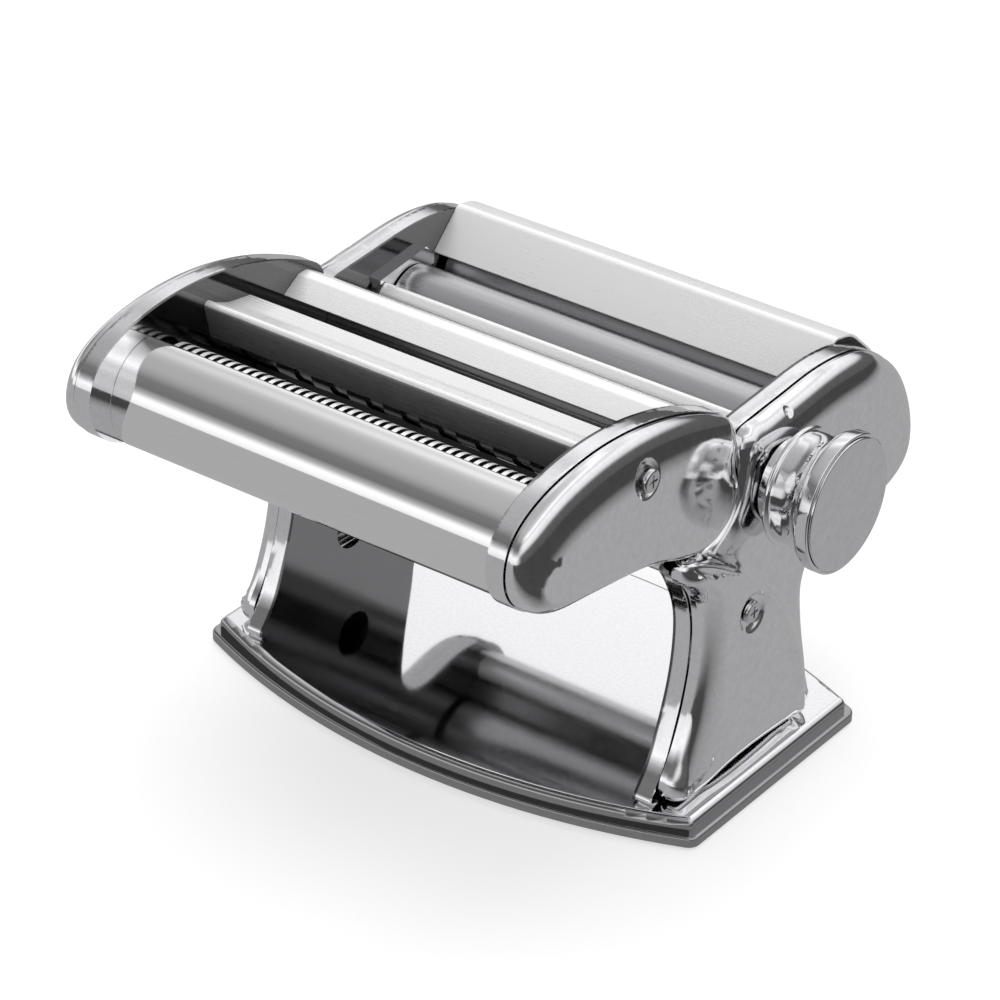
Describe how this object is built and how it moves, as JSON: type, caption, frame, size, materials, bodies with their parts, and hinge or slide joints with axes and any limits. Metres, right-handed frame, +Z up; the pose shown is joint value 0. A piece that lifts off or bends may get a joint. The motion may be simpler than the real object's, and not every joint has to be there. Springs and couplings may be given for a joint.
{
  "type": "pasta roller machine",
  "caption": "Polished steel pasta roller: smooth rollers with a gap knob between stamped legs on a bowed base, and a lift-off cutter unit with grooved rollers.",
  "frame": {"origin": "on the resting surface, midway between the two side frames and midway between the base's four corners", "axes": "+X from the crank side towards the gap knob, -Y towards the cutter unit at the front, +Z up"},
  "size_m": [0.2081, 0.2082, 0.1503],
  "materials": {
    "base_plate": "polished",
    "bearing_yoke_left": "ground",
    "bearing_yoke_right": "ground",
    "cam_shaft": "ground",
    "clamp_socket": "ground",
    "cutter_bushes": "matt",
    "cutter_cover_left": "polished",
    "cutter_cover_right": "polished",
    "cutter_cover_screws": "plated",
    "cutter_frame_left": "polished",
    "cutter_frame_right": "polished",
    "cutter_pillars": "ground",
    "cutter_tie_rods": "plated",
    "cutter_tie_screws": "ground",
    "detent_pin": "ground",
    "frame_screws": "ground",
    "front_guard": "polished",
    "front_roller_gear": "ground",
    "front_scraper": "ground",
    "front_smooth_roller": "ground",
    "hopper_ear_left": "plated",
    "hopper_ear_right": "plated",
    "hopper_plate": "polished",
    "index_plate": "plated",
    "knob_body": "polished",
    "knob_cap": "polished",
    "knob_screw": "plated",
    "knob_spring": "ground",
    "leg_pillars": "ground",
    "leg_screws": "plated",
    "middle_sheet": "polished",
    "narrow_combs": "ground",
    "narrow_front_gear": "ground",
    "narrow_front_roller": "ground",
    "narrow_rear_gear": "ground",
    "narrow_rear_roller": "ground",
    "nose_cover": "polished",
    "rear_roller_bushes": "matt",
    "rear_roller_gear": "ground",
    "rear_scraper": "ground",
    "rear_sheet": "polished",
    "rear_smooth_roller": "ground",
    "rubber_feet": "matt",
    "side_cover_left": "polished",
    "side_cover_right": "polished",
    "side_frame_left": "polished",
    "side_frame_right": "polished",
    "tie_rod_screws": "ground",
    "tie_rods": "plated",
    "wide_combs": "ground",
    "wide_front_gear": "ground",
    "wide_front_roller": "ground",
    "wide_rear_gear": "ground",
    "wide_rear_roller": "ground"
  },
  "bodies": {
    "head": {"base_plate": "base_plate", "rubber_feet": "rubber_feet", "clamp_socket": "clamp_socket", "frame_screws": "frame_screws", "tie_rods": "tie_rods", "tie_rod_screws": "tie_rod_screws", "hopper_plate": "hopper_plate", "front_guard": "front_guard", "front_scraper": "front_scraper", "rear_scraper": "rear_scraper", "rear_roller_bushes": "rear_roller_bushes", "index_plate": "index_plate", "leg_screws": "leg_screws", "leg_pillars": "leg_pillars", "side_frame_left": "side_frame_left", "side_frame_right": "side_frame_right", "side_cover_left": "side_cover_left", "side_cover_right": "side_cover_right", "hopper_ear_left": "hopper_ear_left", "hopper_ear_right": "hopper_ear_right"},
    "rear_roller": {"rear_smooth_roller": "rear_smooth_roller", "rear_roller_gear": "rear_roller_gear"},
    "carriage": {"bearing_yoke_left": "bearing_yoke_left", "bearing_yoke_right": "bearing_yoke_right"},
    "front_roller": {"front_smooth_roller": "front_smooth_roller", "front_roller_gear": "front_roller_gear"},
    "cam": {"cam_shaft": "cam_shaft", "knob_screw": "knob_screw", "knob_spring": "knob_spring"},
    "knob": {"knob_body": "knob_body", "knob_cap": "knob_cap", "detent_pin": "detent_pin"},
    "cutter_unit": {"cutter_frame_left": "cutter_frame_left", "cutter_frame_right": "cutter_frame_right", "cutter_cover_left": "cutter_cover_left", "cutter_cover_right": "cutter_cover_right", "cutter_cover_screws": "cutter_cover_screws", "cutter_pillars": "cutter_pillars", "nose_cover": "nose_cover", "middle_sheet": "middle_sheet", "rear_sheet": "rear_sheet", "narrow_combs": "narrow_combs", "wide_combs": "wide_combs", "cutter_bushes": "cutter_bushes", "cutter_tie_rods": "cutter_tie_rods", "cutter_tie_screws": "cutter_tie_screws"},
    "narrow_front": {"narrow_front_roller": "narrow_front_roller", "narrow_front_gear": "narrow_front_gear"},
    "narrow_rear": {"narrow_rear_roller": "narrow_rear_roller", "narrow_rear_gear": "narrow_rear_gear"},
    "wide_front": {"wide_front_roller": "wide_front_roller", "wide_front_gear": "wide_front_gear"},
    "wide_rear": {"wide_rear_roller": "wide_rear_roller", "wide_rear_gear": "wide_rear_gear"}
  },
  "joints": [
    {"name": "rear_roller_spin", "type": "hinge", "parent": "head", "child": "rear_roller", "pos_m": [0, 0.0595, 0.101], "axis": [1, 0, 0], "continuous": true},
    {"name": "gap_slide", "type": "slide", "parent": "head", "child": "carriage", "axis": [0, 1, 0], "range_m": [0, 0.0024]},
    {"name": "front_roller_spin", "type": "hinge", "parent": "carriage", "child": "front_roller", "pos_m": [0, 0.0306, 0.101], "axis": [1, 0, 0], "continuous": true},
    {"name": "knob_turn", "type": "hinge", "parent": "head", "child": "cam", "pos_m": [0, 0.007, 0.1036], "axis": [1, 0, 0], "range_deg": [0, 180]},
    {"name": "knob_pull", "type": "slide", "parent": "cam", "child": "knob", "axis": [1, 0, 0], "range_m": [0, 0.003], "stiffness_N_per_m": 800, "springref_m": -0.004, "deforming": ["knob_spring"]},
    {"name": "cutter_lift", "type": "slide", "parent": "head", "child": "cutter_unit", "axis": [0, -0.68, 0.7332], "range_m": [0, 0.045]},
    {"name": "narrow_front_spin", "type": "hinge", "parent": "cutter_unit", "child": "narrow_front", "pos_m": [0, -0.0855, 0.1268], "axis": [1, 0, 0], "continuous": true},
    {"name": "narrow_rear_spin", "type": "hinge", "parent": "cutter_unit", "child": "narrow_rear", "pos_m": [0, -0.07171, 0.11603], "axis": [1, 0, 0], "continuous": true},
    {"name": "wide_front_spin", "type": "hinge", "parent": "cutter_unit", "child": "wide_front", "pos_m": [0, -0.044, 0.1212], "axis": [1, 0, 0], "continuous": true},
    {"name": "wide_rear_spin", "type": "hinge", "parent": "cutter_unit", "child": "wide_rear", "pos_m": [0, -0.03021, 0.11043], "axis": [1, 0, 0], "continuous": true}
  ],
  "couplings": [
    {"joint": "gap_slide", "follows": "knob_turn", "m_per_rad": 0.00076394},
    {"joint": "front_roller_spin", "follows": "rear_roller_spin", "ratio": -1},
    {"joint": "narrow_rear_spin", "follows": "narrow_front_spin", "ratio": -1},
    {"joint": "wide_rear_spin", "follows": "wide_front_spin", "ratio": -1}
  ]
}
